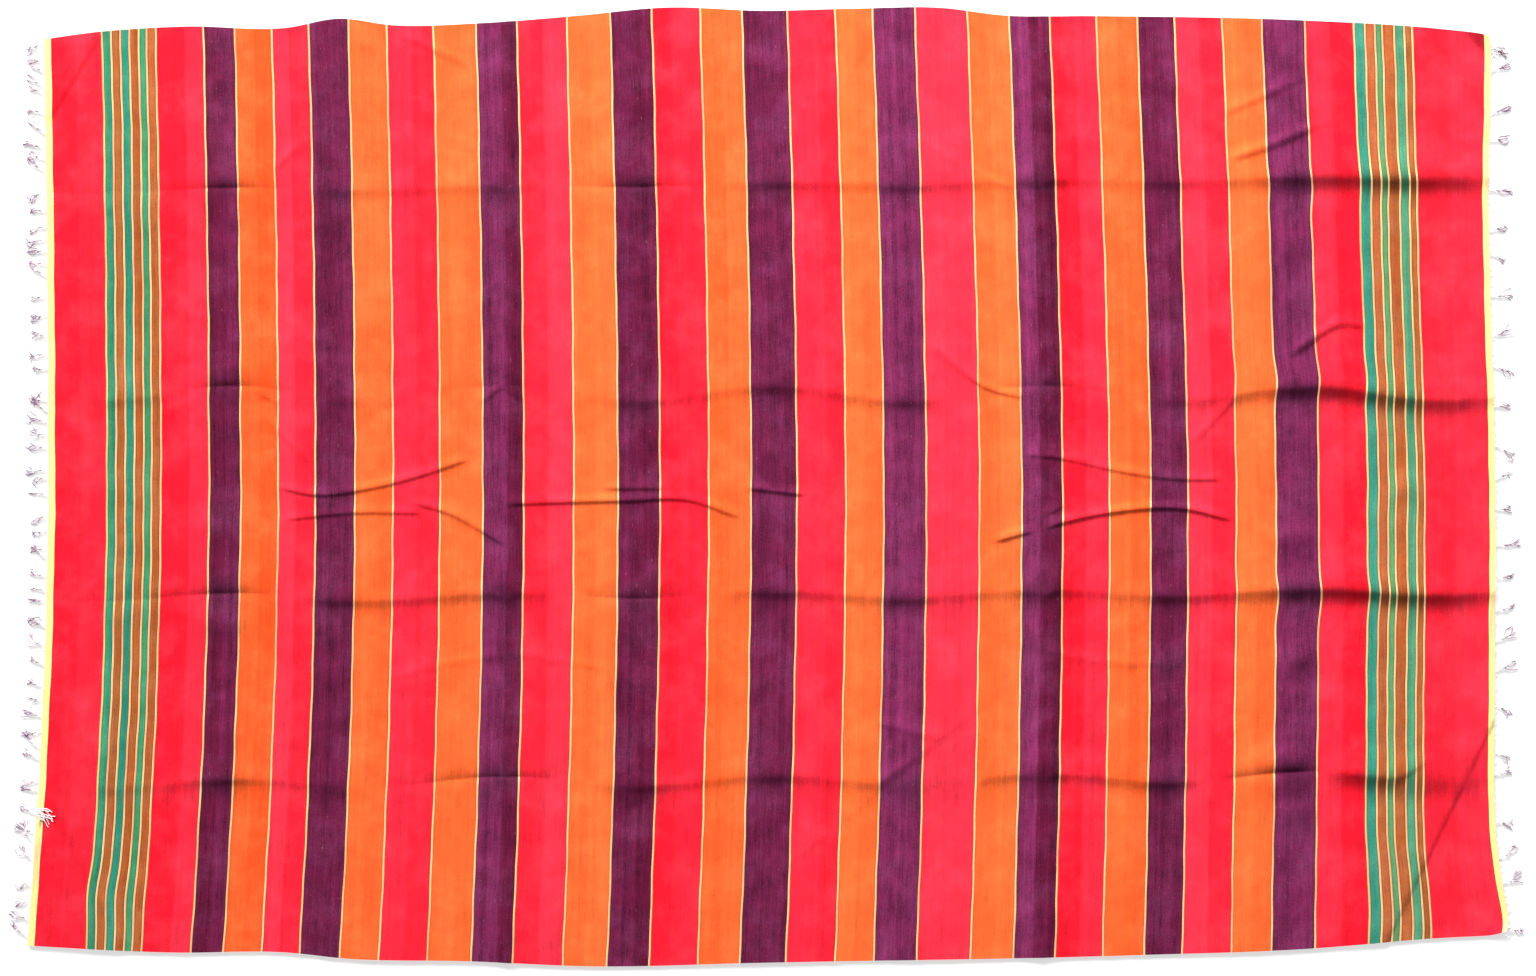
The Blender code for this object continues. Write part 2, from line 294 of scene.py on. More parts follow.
# %% [markdown]
# Each of the four lengthwise creases has its distance across at the west and at the east
# end, how far it sways, and its height in millimetres at one band after another: above
# zero for a ridge, below for a valley. The creases stand highest in the purple bands, and
# the eastern third lay outside, so it kept the strongest ones.

# %% The creases of the fold into five
BAND_MIDDLES = {name: (west + east) / 2 for name, _, west, east in STRIPES}
PURPLE_BANDS = [f"purple_band_{count}" for count in range(1, 10)]
for band, halves in FOLDED_BANDS.items():
    BAND_MIDDLES[band] = (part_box(halves[0])[0][0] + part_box(halves[1])[1][0]) / 2
CREASE_BANDS = ("header_west", "green_stripe_3", *PURPLE_BANDS,
                "red_band_10", "brown_stripe_5", "header_east")
CREASES = (
    (0.485, 0.510, 0.003, (-1, -1, -3, 1.5, 2, -3, 2.5, 3, 3, 2, 5, 4, 4.5, 2)),
    (0.155, 0.155, 0.012, (0.5, 2, -2.5, 1, -1, 2, 2.5, 2.5, -2, 1, 6, 4.5, 4, 2)),
    (-0.180, -0.168, 0.006, (-1, -2, -3, 2.5, 3, -2.5, 3, 3, 3, 3, 6, 5, 5, 2)),
    (-0.485, -0.470, 0.008, (0.5, 2, 3, 1, -3, 2.5, 2.5, 3, 3, 3, -4, 2.5, 3.5, 1)),
)
CREASE_PLACES = [BAND_MIDDLES[band] for band in CREASE_BANDS]
SWAY_LENGTH = 0.44


def crease_place(x, west, east, sway):
    """How far across a lengthwise crease runs."""
    share = (x - WEST_END) / (EAST_END - WEST_END)
    return west + (east - west) * share + sway * np.cos(2 * math.pi * x / SWAY_LENGTH)


def near_purple(x):
    """1 in the middle of a purple band, falling softly to 0 beside it."""
    nearest = np.min([np.abs(x - BAND_MIDDLES[band]) for band in PURPLE_BANDS], axis=0)
    return bump(nearest, 0.036)


def lengthwise_relief(x, y):
    fullness = np.maximum(0.5 + 0.5 * near_purple(x), smoothstep(0.84, 0.92, x))
    steep = STEEP_FLANK + 0.011 * smoothstep(0.70, 0.85, x)
    height = np.zeros_like(x)
    for west, east, sway, heights in CREASES:
        distance = y - crease_place(x, west, east, sway)
        size = smooth_curve(x, CREASE_PLACES, heights) * fullness
        height = height + np.maximum(size, 0) * ridge(distance, steep=steep)
        height = height + np.maximum(-size, 0) * valley(distance)
    return height


def crosswise_relief(x, y):
    """The two creases where the rug folds in thirds."""
    sway = 0.003 * np.sin(5.0 * y) - 0.004 * smoothstep(-0.2, -0.75, y)
    west = 1.8 * bump(np.abs(x - FOLDS["west"] - sway) ** 0.7, 0.012**0.7)
    east = 2.0 * bump(np.abs(x - FOLDS["east"] + sway) ** 0.7, 0.016**0.7)
    return west + east


# %% [markdown]
# Between the creases the cloth has puckered where a stiff band meets a softer one. The
# puckers are soft round swellings, given band by band as distance across and height in
# millimetres.

# %% The puckers
PUCKERS = {
    "green_stripe_2": ((-0.20, 1.5), (-0.65, 1.5)),
    "purple_band_1": ((0.45, 2.5), (0.20, 1.0), (0.10, 2.5), (-0.22, 2.5), (-0.40, 2.0)),
    "purple_band_2": ((0.43, 1.0), (-0.30, 1.0)),
    "purple_band_3": ((0.60, 1.0), (-0.56, 1.0)),
    "purple_band_4": ((0.63, 1.5), (0.08, 1.0)),
    "purple_band_5": ((0.69, 1.0), (0.06, 1.0)),
    "purple_band_6": ((0.41, 1.5), (0.27, 2.0), (-0.53, 1.5)),
    "purple_band_7": ((0.41, 1.5), (-0.06, 1.5), (-0.70, 2.0)),
    "purple_band_8": ((0.66, 1.5), (-0.27, 1.0), (-0.35, 1.5)),
    "purple_band_9": ((0.40, 2.0), (-0.08, 3.0), (-0.28, 3.0), (-0.53, 3.0)),
    "red_band_10": ((0.20, 1.5),),
    "brown_stripe_5": ((0.62, 1.0), (0.0, 2.0), (-0.61, 1.5)),
}
PUCKER_ALONG = 0.030
PUCKER_ACROSS = 0.021


def pucker_relief(x, y):
    height = np.zeros_like(x)
    for band, puckers in PUCKERS.items():
        along = bump(x - BAND_MIDDLES[band], PUCKER_ALONG)
        for place, size in puckers:
            height = height + size * along * bump(y - place, PUCKER_ACROSS)
    return height


# %% [markdown]
# Each corner has its diagonal crease. The frame keeps the corners as pieces that turn
# over, so the crease runs between the corner piece and its neighbour. Each is a low step:
# the western corners stand above their crease (sizes above zero), and the eastern ones
# lie below it.

# %% The corner creases
CORNER_SIDES = {"nw": (-1, 1), "ne": (1, 1), "sw": (-1, -1), "se": (1, -1)}
CORNER_MM = {"nw": 1.7, "sw": 1.7, "ne": -1.6, "se": -1.5}
CORNER_SLOW = 0.060
CORNER_STEEP = 0.0045


def corner_crease(corner):
    """The ends of a corner's crease: on the cloth's end and on its long edge."""
    side_x, side_y = CORNER_SIDES[corner]
    low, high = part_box(f"corner_weft_{corner}")
    outer_x, inner_x = (low[0], high[0]) if side_x < 0 else (high[0], low[0])
    outer_y, inner_y = (low[1], high[1]) if side_y < 0 else (high[1], low[1])
    return (outer_x, inner_y), (inner_x, outer_y)


def corner_depth(x, y, corner):
    """How far a place lies outside a corner's crease, towards the corner's tip."""
    side_x, side_y = CORNER_SIDES[corner]
    distance, share = along_line(x, y, *corner_crease(corner))
    tip = (side_x * HALF_LENGTH, side_y * HALF_WIDTH_MIDDLE)
    tip_side = along_line(np.array([tip[0]]), np.array([tip[1]]), *corner_crease(corner))
    return distance * np.sign(tip_side[0][0]), share


def corner_relief(x, y):
    height = np.zeros_like(x)
    for corner, size in CORNER_MM.items():
        depth, share = corner_depth(x, y, corner)
        ends = smoothstep(-0.08, 0.05, share) * smoothstep(1.08, 0.95, share)
        shape = ridge(np.sign(size) * depth, CORNER_SLOW, CORNER_STEEP)
        height = height + abs(size) * ends * shape
    return height


# %% [markdown]
# The middle of the rug has pinched wrinkles, where the cloth was squeezed as it lay
# folded. Each is a soft curved fold with a steep southern side. They are placed one by
# one: the height in millimetres, then the places along and across that the fold passes.

# %% The pinched wrinkles
WRINKLES = (
    (1.8, (-0.80, 0.0), (-0.75, -0.01), (-0.66, 0.0), (-0.58, 0.02), (-0.505, 0.045)),
    (1.4, (-0.79, -0.05), (-0.69, -0.04), (-0.58, -0.04)),
    (1.8, (-0.58, -0.025), (-0.53, -0.04), (-0.44, -0.09)),
    (2.0, (-0.43, -0.025), (-0.24, -0.02), (-0.13, -0.02), (-0.06, -0.045)),
    (1.4, (-0.27, 0.0), (-0.18, 0.0)),
    (2.0, (-0.035, 0.0), (0.05, -0.01)),
    (1.2, (-0.845, 0.16), (-0.81, 0.14)),
    (1.4, (-0.825, 0.11), (-0.76, 0.045)),
    (1.2, (-0.47, 0.145), (-0.44, 0.165), (-0.41, 0.145)),
    (2.4, (0.37, -0.085), (0.44, -0.065), (0.55, -0.04), (0.685, -0.035), (0.745, -0.05)),
    (1.4, (0.42, 0.055), (0.47, 0.05), (0.56, 0.03), (0.67, 0.015), (0.73, 0.015)),
    (1.2, (0.42, -0.055), (0.475, -0.03)),
    (1.2, (0.69, 0.075), (0.755, 0.145)),
    (1.8, (0.27, 0.225), (0.35, 0.165), (0.405, 0.15)),
    (1.4, (-0.81, 0.525), (-0.78, 0.555)),
    (1.6, (-0.605, 0.74), (-0.505, 0.695)),
    (1.2, (0.175, -0.385), (0.27, -0.41)),
    (2.4, (0.755, 0.54), (0.815, 0.56), (0.885, 0.59)),
    (1.4, (0.745, 0.615), (0.87, 0.67)),
    (2.6, (0.85, 0.22), (0.94, 0.27), (0.965, 0.265)),
    (0.9, (0.40, -0.255), (0.54, -0.285), (0.67, -0.29)),
    (0.8, (-0.62, -0.31), (-0.44, -0.275), (-0.275, -0.295)),
    (1.4, (0.41, -0.655), (0.475, -0.745)),
    (1.2, (1.09, 0.525), (1.155, 0.405)),
)
WRINKLE_FADE = 0.012
WRINKLE_SLOW = 0.009
WRINKLE_STEEP = 0.0035


def wrinkle_relief(x, y):
    height = np.zeros_like(x)
    for size, *places in WRINKLES:
        along = [place[0] for place in places]
        across = [place[1] for place in places]
        middle = smooth_curve(x, along, across)
        ahead = smooth_curve(x + 0.001, along, across)
        steepness = (ahead - middle) / 0.001
        distance = (y - middle) / np.sqrt(1 + steepness**2)
        ends = smoothstep(along[0] - WRINKLE_FADE, along[0] + WRINKLE_FADE, x)
        ends = ends * smoothstep(along[-1] + WRINKLE_FADE, along[-1] - WRINKLE_FADE, x)
        reach = np.where(distance < 0, WRINKLE_STEEP, WRINKLE_SLOW)
        height = height + size * ends * bump(distance, reach)
    return height


# %% [markdown]
# Everything else is a very shallow swell, because soft cloth never lies dead flat. Two
# corner tips curl up a little. The relief is held below a ceiling in each third, so that
# the thirds can still lie on each other when the rug is folded, and lower still where a
# corner turns over and where it comes to lie.

# %% The whole relief
CURLS = {"ne": (0.024, 4.2), "se": (0.020, 2.4)}
CEILING_MM = {"inner": 3.0, "east": 6.0, "corner": 1.6, "under_corner": 0.05}
# room for the fringe, and at the south-west for the lean of the header as well
FRINGE_ROOM = {"nw": 0.055, "sw": 0.090}


def swell_relief(x, y):
    long_wave = np.sin(9.1 * x + 3.0 * np.sin(4.3 * y)) * np.sin(7.7 * y + 1.3)
    short_wave = np.sin(31.0 * x + 5.0 * y) * np.sin(23.0 * y - 9.0 * x + 0.7)
    cockle = np.sin(118 * x + 2.2 * np.sin(23 * y)) * np.sin(131 * y + 1.9 * np.sin(19 * x))
    return 0.25 * (1 + long_wave) + 0.12 * (1 + short_wave) + 0.16 * (1 + cockle)


def from_tip(x, y, corner):
    """How far a place is from a corner's tip, along the rug plus across it."""
    side_x, side_y = CORNER_SIDES[corner]
    return HALF_LENGTH - side_x * x + HALF_WIDTH_MIDDLE - WAIST - side_y * y


def curl_share(x, y, corner):
    reach, _ = CURLS[corner]
    return np.clip(1 - from_tip(x, y, corner) / (1.6 * reach), 0.0, 1.3)


def covered_share(x, y, corner, spare):
    """1 where a turned-over corner comes to lie, with spare room round it, 0 elsewhere."""
    start, end = corner_crease(corner)
    depth, _ = corner_depth(x, y, corner)
    way = np.asarray(end) - np.asarray(start)
    normal = np.array([-way[1], way[0]]) / np.hypot(*way)
    side_x, side_y = CORNER_SIDES[corner]
    normal = normal * (1 if normal @ np.array([side_x, side_y]) > 0 else -1)
    mirror_x = x - 2 * depth * normal[0]
    mirror_y = y - 2 * depth * normal[1]
    room_x = HALF_LENGTH - side_x * mirror_x
    room_y = HALF_WIDTH_MIDDLE - WAIST - side_y * mirror_y
    inside = smoothstep(-spare - 0.025, -spare, np.minimum(room_x, room_y))
    return inside * smoothstep(0.025, 0.0, depth)


def lower_to(ceiling, limit, share):
    return ceiling + (np.minimum(ceiling, limit) - ceiling) * share


def relief(x, y):
    """The height of the cloth's underside above the floor, in metres."""
    height = swell_relief(x, y) + lengthwise_relief(x, y) + crosswise_relief(x, y)
    height = height + pucker_relief(x, y) + wrinkle_relief(x, y)
    in_east = smoothstep(FOLDS["east"], FOLDS["east"] + 0.06, x)
    ceiling = CEILING_MM["inner"] + (CEILING_MM["east"] - CEILING_MM["inner"]) * in_east
    for corner in CORNER_SIDES:
        depth, _ = corner_depth(x, y, corner)
        outside = smoothstep(-0.005, 0.0, depth)
        share = np.maximum(outside, covered_share(x, y, corner, 0.005))
        ceiling = lower_to(ceiling, CEILING_MM["corner"], share)
        # the corner itself was pressed flat by its own fold
        height = height * (1 - 0.5 * smoothstep(-0.01, 0.02, depth))
    # a turned-over western corner lies on the middle third when the west folds in
    folded_x = 2 * FOLDS["west"] - x
    for corner, room in FRINGE_ROOM.items():
        share = covered_share(folded_x, y, corner, room) * (x > 0)
        ceiling = lower_to(ceiling, CEILING_MM["under_corner"], share)
    height = height + corner_relief(x, y)
    height = height / (1 + (height / ceiling) ** 6) ** (1 / 6)
    for corner, (_, lift) in CURLS.items():
        height = height + lift * curl_share(x, y, corner) ** 1.5
    return height / 1000


# %% [markdown]
# Painted shade: along each old crease, on the steep flank of a ridge and at the bottom of a
# valley, the cloth is painted darker than the open cloth, and so are a thin line along each
# corner crease and the curled north-east tip. This stands in for shade the relief is too low
# to cast, its height being limited by how thin the folded stack has to be. Each place gets a share
# of it, which the yarns read.

# %% The painted shade of the creases
# where and how wide the painted crease shade lies, and the crease height that gets all of it
CREASE_SET_BACK = 0.010
CREASE_WIDTH = 0.022
FULL_CREASE_MM = 4.0


def painted_crease_shade(x, y):
    """How much painted crease shade each place has, from 0 to 1."""
    fullness = np.maximum(0.35 + 0.65 * near_purple(x), smoothstep(0.80, 0.90, x))
    share = np.zeros_like(x)
    for west, east, sway, heights in CREASES:
        distance = y - crease_place(x, west, east, sway)
        size = smooth_curve(x, CREASE_PLACES, heights)
        offset = np.where(size > 0, distance + CREASE_SET_BACK, distance)
        size = np.minimum(np.abs(size) / FULL_CREASE_MM, 1)
        share = share + size * fullness * bump(offset, CREASE_WIDTH)
    # painted shade: a thin dark line along each corner crease
    for corner in CORNER_SIDES:
        depth, along = corner_depth(x, y, corner)
        ends = smoothstep(-0.04, 0.05, along) * smoothstep(1.04, 0.95, along)
        share = share + 0.30 * ends * bump(depth, 0.007)
    # painted shade: the curled north-east tip is painted darkest of all
    share = share + smoothstep(0.058, 0.046, from_tip(x, y, "ne"))
    return np.clip(share, 0, 1)


# %% [markdown]
# One function brings the lean, the long edges and the relief together. All the cloth is
# cut with it.

# %% From the flat cloth to its place


def cloth_point(along, across_share):
    """Places in space for places in the flat cloth. The second value runs from -1 at
    the south edge to 1 at the north edge."""
    north = edge_distance(along, True)
    south = edge_distance(along, False)
    y = across_share * np.where(across_share > 0, north, south)
    x = along + lean(along, y)
    z = relief(x, y)
    for corner, (reach, _) in CURLS.items():
        side_x, side_y = CORNER_SIDES[corner]
        pull = 0.20 * reach * curl_share(x, y, corner) ** 2
        x = x - side_x * pull
        y = y - side_y * pull
    return x, y, z


sample_x, sample_y = np.meshgrid(np.linspace(-1.18, 1.18, 400), np.linspace(-0.7, 0.7, 300))
sample = relief(sample_x.ravel(), sample_y.ravel()) * 1000
print(f"relief from {sample.min():.2f} to {sample.max():.2f} mm")

# %% [markdown]
# ## Cutting the cloth into stripes
# Each stripe is a grid laid in the flat cloth, moved to its place by `cloth_point`, and
# then extruded straight down by the cloth's thickness, so that it is a closed sheet. All
# stripes have the same number of rows, so they meet without a crack. Two UV maps go with
# the cloth: `Cloth`, in metres, carries the weave, and `Stripe` runs from 0 to 1 across
# each stripe and carries the dye lots.

# %% The rows that every stripe shares
STEP_ALONG = 0.0042
FINE_ROWS_PER_M = 480
PLAIN_ROWS_PER_M = 190
WRINKLED = (-0.10, 0.06)


def half_rows(side):
    """Shares from 0 in the middle to 1 at a long edge, closer together at the creases."""
    shares = np.linspace(0, 1, 2001)
    y = side * shares * HALF_WIDTH_MIDDLE
    close = (y > WRINKLED[0]) & (y < WRINKLED[1])
    for west, east, sway, _ in CREASES:
        close = close | (np.abs(y - (west + east) / 2) < 0.020 + sway)
    rows_per_m = np.where(close, FINE_ROWS_PER_M, PLAIN_ROWS_PER_M)
    passed = np.cumsum(rows_per_m) / len(shares) * HALF_WIDTH_MIDDLE
    passed = passed - passed[0]
    return np.interp(np.linspace(0, passed[-1], round(passed[-1]) + 1), passed, shares)


SOUTH_ROWS = half_rows(-1)
NORTH_ROWS = half_rows(1)
ROW_SHARES = np.concatenate((-SOUTH_ROWS[::-1], NORTH_ROWS[1:]))
MIDDLE_ROW = len(SOUTH_ROWS) - 1
print(len(ROW_SHARES), "rows across the cloth")

# %% The function that cuts a stripe


def make_strip(name, west, east, rows=ROW_SHARES, crown=0.0, columns=None):
    """A closed strip of cloth between two places along the rug, over some of its rows."""
    columns = columns or max(3, math.ceil((east - west) / STEP_ALONG))
    deselect_all()
    bpy.ops.mesh.primitive_grid_add(
        x_subdivisions=columns, y_subdivisions=len(rows) - 1, size=1
    )
    strip = bpy.context.object
    strip.name = name
    mesh = strip.data
    mesh.name = name
    flat = points_of(mesh) + 0.5
    along = west + (east - west) * flat[:, 0]
    across = rows[np.rint(flat[:, 1] * (len(rows) - 1)).astype(int)]
    x, y, z = cloth_point(along, across)
    z = z + crown * (1 - (2 * flat[:, 0] - 1) ** 2)
    set_points(mesh, np.column_stack((x, y, z + CLOTH_THICKNESS)))
    # each point's share of painted crease shade, read by the yarns
    crease = mesh.attributes.new("Crease", "FLOAT", "POINT")
    crease.data.foreach_set("value", painted_crease_shade(x, y).astype(np.float32))

    corners = np.empty(len(mesh.loops), np.int32)
    mesh.loops.foreach_get("vertex_index", corners)
    while mesh.uv_layers:
        mesh.uv_layers.remove(mesh.uv_layers[0])
    cloth_uv = mesh.uv_layers.new(name="Cloth")
    metres = np.column_stack((along, across * HALF_WIDTH_MIDDLE))
    cloth_uv.data.foreach_set("uv", metres[corners].astype(np.float32).ravel())
    stripe_uv = mesh.uv_layers.new(name="Stripe")
    from_edge = np.minimum(along - west, east - along)
    shares = np.column_stack((flat[:, 0], from_edge))
    stripe_uv.data.foreach_set("uv", shares[corners].astype(np.float32).ravel())

    bpy.ops.object.mode_set(mode="EDIT")
    bpy.ops.mesh.select_all(action="SELECT")
    bpy.ops.mesh.extrude_region_move(
        TRANSFORM_OT_translate={"value": (0, 0, -CLOTH_THICKNESS)}
    )
    bpy.ops.mesh.select_all(action="SELECT")
    bpy.ops.mesh.normals_make_consistent(inside=False)
    bpy.ops.object.mode_set(mode="OBJECT")
    bpy.ops.object.shade_smooth_by_angle(angle=math.radians(50))
    return strip


# %% [markdown]
# ## Materials
# All the weft is hand-spun cotton dyed in the yarn. Dyed yarn differs from one dye lot to
# the next, so a band can change shade halfway, and every row of weft is a little lighter
# or darker than its neighbour. Matte cotton has almost no gloss, a high roughness and a
# faint fuzz that the sheen gives.

# %% Colour and node helpers


def linear(hex_colour):
    """An sRGB hex colour as linear RGBA."""
    channels = [int(hex_colour[i:i + 2], 16) / 255 for i in (0, 2, 4)]
    return (*[c / 12.92 if c <= 0.04045 else ((c + 0.055) / 1.055) ** 2.4
              for c in channels], 1.0)


def add_node(tree, kind, links=None, **settings):
    """Adds a shader node. A socket gets a value, another socket or a node's first output."""
    node = tree.nodes.new("ShaderNode" + kind)
    for name, value in settings.items():
        setattr(node, name, value)
    for socket, source in (links or {}).items():
        if isinstance(source, bpy.types.Node):
            source = source.outputs[0]
        if isinstance(source, bpy.types.NodeSocket):
            tree.links.new(source, node.inputs[socket])
        else:
            node.inputs[socket].default_value = source
    return node


def start_material(name, roughness, specular):
    """A new material with its node tree and its shader."""
    material = bpy.data.materials.new(name)
    material.use_nodes = True
    shader = material.node_tree.nodes["Principled BSDF"]
    shader.inputs["Roughness"].default_value = roughness
    shader.inputs["Specular IOR Level"].default_value = specular
    return material, material.node_tree, shader


def stretched_noise(tree, cloth, scale, detail, roughness=0.5):
    """Noise on the cloth, finer or coarser along it than across it."""
    stretched = add_node(tree, "Mapping", {"Vector": cloth, "Scale": (*scale, 1.0)})
    return add_node(tree, "TexNoise", {
        "Vector": stretched, "Scale": 1.0, "Detail": detail, "Roughness": roughness,
    })


# %% [markdown]
# The studio lamps are bright: white paper under them is a third brighter than full. So a
# dye is given by how it looks there, and its own colour is that much deeper, except in a
# channel that is nearly full.

# %% From the look of a dye to its own colour
LAMP_BRIGHTNESS = 1.3
FULL = 0.85


def dyed(look_hex):
    """A dye's own colour, from its look under the lamps."""
    look = linear(look_hex)
    own = [value if value > FULL else value / LAMP_BRIGHTNESS for value in look[:3]]
    return (*own, 1.0)


print("own colour of the brightest red:", [round(value, 3) for value in dyed("FB283E")])

# %% [markdown]
# One function makes each dyed yarn. The streaks follow the weft, so their noise is
# stretched along it: about 2.4 mm wide and 40 mm long. Slubs, the thick pale spots of
# hand-spun yarn, are a few millimetres long. The ribs of the weave are 3.2 mm apart and
# the rows of weft 1.6 mm, which is a little coarser than real so that they show.

# %% The dyed weft
# how dark the painted crease shade is at its deepest
DARKEST_PAINTED_CREASE_SHADE = 0.45


def make_weft(name, lot_hexes, faded_hex, edge_hex, streaks, change=0.5, slubs=0.0):
    """Weft yarn with two dye lots, west and east of where the shade changes."""
    material, tree, shader = start_material(name, 0.85, 0.05)
    cloth = add_node(tree, "UVMap", uv_map="Cloth")
    stripe = add_node(tree, "UVMap", uv_map="Stripe")
    share = add_node(tree, "SeparateXYZ", {"Vector": stripe})

    lots = add_node(tree, "MapRange", {
        "Value": share.outputs["X"], "From Min": change - 0.03, "From Max": change + 0.03,
    })
    dye = add_node(tree, "Mix", {
        "Factor": lots, 6: dyed(lot_hexes[0]), 7: dyed(lot_hexes[1]),
    }, data_type="RGBA")

    variation = stretched_noise(tree, cloth, (420.0, 24.0), 3.0, 0.6)
    broad_streaks = stretched_noise(tree, cloth, (95.0, 1.6), 2.0)
    clouds = add_node(tree, "TexNoise", {
        "Vector": cloth, "Scale": 22.0, "Detail": 4.0, "Roughness": 0.62,
    })
    # the grain of single picks, drawn a little coarser than real so that it shows
    grain = add_node(tree, "TexNoise", {
        "Vector": cloth, "Scale": 330.0, "Detail": 2.0, "Roughness": 0.7,
    })
    for noise in (grain, broad_streaks, clouds):
        variation = add_node(tree, "Math", {0: variation, 1: noise}, operation="ADD")
    strength = add_node(tree, "MapRange", {
        "Value": variation, "From Min": 1.5, "From Max": 2.5, "To Min": 1 - streaks,
        "To Max": 1 + streaks,
    })
    # light has bleached soft patches, a hand wide
    patches = add_node(tree, "TexNoise", {
        "Vector": cloth, "Scale": 13.0, "Detail": 5.0, "Roughness": 0.65,
    })
    bleached = add_node(tree, "MapRange", {
        "Value": patches, "From Min": 0.45, "From Max": 0.75, "To Min": 0.0, "To Max": 0.40,
    })
    faded = add_node(tree, "Mix", {
        "Factor": bleached, 6: dye.outputs[2], 7: dyed(faded_hex),
    }, data_type="RGBA")
    # painted shade: along the creases and at the curled north-east tip the colour is darkened,
    # standing in for their shade
    crease = add_node(tree, "Attribute", attribute_name="Crease")
    depth = add_node(tree, "MapRange", {
        "Value": crease.outputs["Fac"], "To Min": 1.0, "To Max": DARKEST_PAINTED_CREASE_SHADE,
    })
    # the streaks times the painted crease shade
    streaks_and_painted_shade = add_node(tree, "Math", {0: strength, 1: depth}, operation="MULTIPLY")
    shaded = add_node(tree, "VectorMath", {0: faded.outputs[2], "Scale": streaks_and_painted_shade}, operation="SCALE")

    # the yarns mix in the last row beside a pin line
    border = add_node(tree, "MapRange", {
        "Value": share.outputs["Y"], "From Min": 0.0004, "From Max": 0.0018, "To Min": 0.75,
        "To Max": 0.0,
    })
    edged = add_node(tree, "Mix", {"Factor": border, 6: shaded, 7: dyed(edge_hex)}, data_type="RGBA")
    colour = edged.outputs[2]

    if slubs:
        slub_noise = stretched_noise(tree, cloth, (330.0, 90.0), 1.0)
        slub_spots = add_node(tree, "MapRange", {
            "Value": slub_noise, "From Min": 0.73, "From Max": 0.80, "To Min": 0.0, "To Max": slubs,
        })
        slubbed = add_node(tree, "Mix", {
            "Factor": slub_spots, 6: colour, 7: dyed("C890A0"),
        }, data_type="RGBA")
        colour = slubbed.outputs[2]

    tree.links.new(colour, shader.inputs["Base Color"])
    shader.inputs["Sheen Weight"].default_value = 0.02
    shader.inputs["Sheen Roughness"].default_value = 0.5
    add_weave(tree, cloth, shader, 0.4)
    return material


# %% [markdown]
# The weave shows as fine ribs. Weft passes over one warp thread and under the next, so
# bumps in neighbouring rows are offset, like bricks. Two sine waves multiplied together
# give that pattern.

# %% The weave
RIB_SPACING_MM = 3.2
ROW_SPACING_MM = 1.6


def add_weave(tree, cloth, shader, strength):
    """Bumps of a weft-faced plain weave, as a normal for the shader."""
    parts = add_node(tree, "SeparateXYZ", {"Vector": cloth})
    turns_along = 1000 * math.pi / ROW_SPACING_MM
    turns_across = 1000 * math.pi / RIB_SPACING_MM
    waves = []
    for axis, turns in (("X", turns_along), ("Y", turns_across)):
        angle = add_node(tree, "Math", {0: parts.outputs[axis], 1: turns}, operation="MULTIPLY")
        waves.append(add_node(tree, "Math", {0: angle}, operation="SINE"))
    product = add_node(tree, "Math", {0: waves[0], 1: waves[1]}, operation="MULTIPLY")
    fibre = add_node(tree, "TexNoise", {"Vector": cloth, "Scale": 420.0, "Detail": 3.0})
    uneven = add_node(tree, "Math", {0: product, 1: fibre}, operation="ADD")
    weave = add_node(tree, "Bump", {"Height": uneven, "Strength": strength, "Distance": 0.0003})
    tree.links.new(weave.outputs["Normal"], shader.inputs["Normal"])


# %% [markdown]
# The yarns, band by band. Each has the shade at its western and its eastern edge, and the
# share of the way across at which the shade changes. At the two crosswise folds the shade
# changes on the fold itself, and is darker east of it.

# %% The dye lots
FOLD_SHARE_WEST = 0.61
FOLD_SHARE_EAST = 0.46
DYE_LOTS = {
    "scarlet": "FA1E36", "poppy": "FA273E", "cherry": "FA2F48", "rose": "FA3850",
    "burnt": "FA6028", "tangerine": "FA6B30", "marigold": "FA7236", "apricot": "FA7A3C",
    "wine": "70193E", "aubergine": "731D45", "plum": "772049", "mulberry": "822957",
    "heather": "8A2D5D",
    "leaf": "449D6C", "sea": "36977C", "jade": "42A188", "mint": "5BA77F", "moss": "6CA66D",
    "umber": "B85E2A", "tan": "BF6A38", "rust": "C66434", "copper": "CF6B3F",
}
# west to east, one or two lots to a stripe
LOTS_OF = {
    "red_end_west": "scarlet-poppy",
    "green_stripe": "leaf-sea sea leaf jade moss mint",
    "brown_stripe": "tan rust-umber rust copper rust tan",
    "red_band": "scarlet-cherry rose-poppy cherry-poppy poppy-rose scarlet-poppy "
                "cherry-poppy rose scarlet-cherry rose-poppy cherry-scarlet",
    "purple_band": "wine-plum aubergine-plum mulberry-wine aubergine-wine plum "
                   "heather-mulberry heather-wine aubergine-plum mulberry",
    "orange_band": "tangerine-burnt marigold-tangerine marigold marigold-apricot "
                   "tangerine-marigold apricot-marigold marigold-apricot "
                   "marigold-tangerine apricot-marigold",
    "red_end_east": "poppy-cherry",
}
# where the lot changes, as a share of the way across, if not in the middle
LOT_CHANGES = {
    "red_band_1": 0.6, "red_band_2": 0.45, "red_band_5": 0.4, "red_band_6": 0.6,
    "purple_band_3": FOLD_SHARE_WEST, "purple_band_7": FOLD_SHARE_EAST,
}
FADED_HEX = {
    "red": "FF5A70", "orange": "FF9C5C", "purple": "984A7C",
    "green": "7CC4A4", "brown": "E09C6C",
}
EDGE_HEX = {
    "red": "8A4420", "orange": "B5602A", "purple": "4A1A2A",
    "green": "3D6A48", "brown": "744222",
}
STREAKS = {"red": 0.30, "orange": 0.26, "purple": 0.62, "green": 0.34, "brown": 0.34}
SLUBS = {"purple": 0.30}


def yarn_of(stripe):
    return stripe.split("_")[0]


